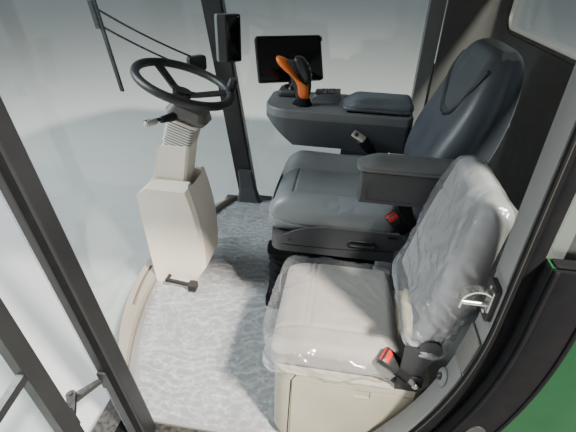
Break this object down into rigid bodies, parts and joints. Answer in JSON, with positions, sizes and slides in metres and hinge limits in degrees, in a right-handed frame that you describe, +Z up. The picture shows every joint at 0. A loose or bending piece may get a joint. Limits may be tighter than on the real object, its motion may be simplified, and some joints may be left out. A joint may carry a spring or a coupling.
{
  "type": "combine harvester cab",
  "caption": "Hollow glazed operator cab of a combine harvester, with hinged door, tilting steering column, swivel seat with console and a folding instructor seat.",
  "frame": {"origin": "centre of the four base bolts, on the underside of the feet", "axes": "+X to the operator's left, -Y to the front, +Z up"},
  "size_m": [3.1264, 2.1249, 1.95],
  "materials": {
    "steel_black": "satin",
    "mat": "matte",
    "beige_trim": "matte",
    "dark_trim": "matte",
    "grey_trim": "matte",
    "green_paint": "gloss",
    "glass": "clear",
    "headlining": "matte",
    "black_plastic": "satin",
    "seal": "matte",
    "zinc": "satin",
    "seat_leather": "satin",
    "pad": "matte",
    "orange_plastic": "satin",
    "seat_cloth": "matte"
  },
  "bodies": {
    "cab": {"base_frame": "steel_black", "floor_pan": "steel_black", "floor_mat": "mat", "front_trim": "beige_trim", "front_posts": "dark_trim", "post_cover": "dark_trim", "middle_posts": "grey_trim", "rear_posts": "grey_trim", "rear_wall": "grey_trim", "rear_lining": "grey_trim", "side_panels": "green_paint", "quarter_windows": "glass", "rear_window": "glass", "right_window": "glass", "windshield": "glass", "wiper": "black_plastic", "roof_frame": "steel_black", "headliner": "headlining", "roof_shell": "green_paint", "lamp_bar": "black_plastic", "door_seal": "seal", "striker": "zinc", "striker_plate": "black_plastic", "hinge_brackets": "steel_black", "column_housing": "beige_trim", "brake_pedals": "steel_black", "release_pedal": "black_plastic", "corner_display": "black_plastic", "seat_suspension": "black_plastic", "buddy_box": "beige_trim", "buddy_cushion": "seat_cloth"},
    "door": {"door_frame": "steel_black", "door_glass": "glass", "door_latch": "black_plastic", "hinge_arms": "steel_black"},
    "column": {"column_shroud": "beige_trim", "column_boot": "seal", "column_collar": "beige_trim", "column_head": "dark_trim", "column_stalk": "black_plastic"},
    "wheel": {"steering_wheel": "black_plastic"},
    "slide": {"seat_slides": "zinc"},
    "seat": {"seat_pan": "dark_trim", "seat_cushion": "seat_leather", "armrest_box": "dark_trim", "console": "dark_trim", "joystick": "orange_plastic", "display": "black_plastic", "display_arm": "steel_black"},
    "backrest": {"seat_backrest": "seat_leather"},
    "armrest_cover": {"armrest_lid": "pad"},
    "console_cover": {"console_lid": "pad"},
    "buddy_back": {"buddy_backrest": "seat_cloth"}
  },
  "joints": [
    {"name": "door_swing", "type": "hinge", "parent": "cab", "child": "door", "pos_m": [0.945, -0.48968, 0.18], "axis": [0, -0.1459, 0.9893], "range_deg": [0, 90]},
    {"name": "column_tilt", "type": "hinge", "parent": "cab", "child": "column", "pos_m": [0, -0.608, 0.63], "axis": [-1, 0, 0], "range_deg": [-5, 9]},
    {"name": "wheel_turn", "type": "hinge", "parent": "column", "child": "wheel", "pos_m": [0, -0.49, 1.14], "axis": [0, 0.3256, 0.9455], "continuous": true},
    {"name": "seat_slide", "type": "slide", "parent": "cab", "child": "slide", "axis": [0, 1, 0], "range_m": [-0.1, 0.05]},
    {"name": "seat_swivel", "type": "hinge", "parent": "slide", "child": "seat", "pos_m": [0, 0.25, 0.58], "axis": [0, 0, 1], "range_deg": [-7.5, 7.5]},
    {"name": "back_recline", "type": "hinge", "parent": "seat", "child": "backrest", "pos_m": [0, 0.48, 0.74], "axis": [-1, 0, 0], "range_deg": [-8, 8]},
    {"name": "armrest_lid", "type": "hinge", "parent": "seat", "child": "armrest_cover", "pos_m": [0.293, 0.568, 0.989], "axis": [-1, 0, 0], "range_deg": [0, 80]},
    {"name": "console_lid", "type": "hinge", "parent": "seat", "child": "console_cover", "pos_m": [-0.372, 0.434, 0.989], "axis": [-1, 0, 0], "range_deg": [0, 70]},
    {"name": "buddy_back_fold", "type": "hinge", "parent": "cab", "child": "buddy_back", "pos_m": [0.5675, 0.43, 0.71], "axis": [1, 0, 0], "range_deg": [0, 95]}
  ]
}
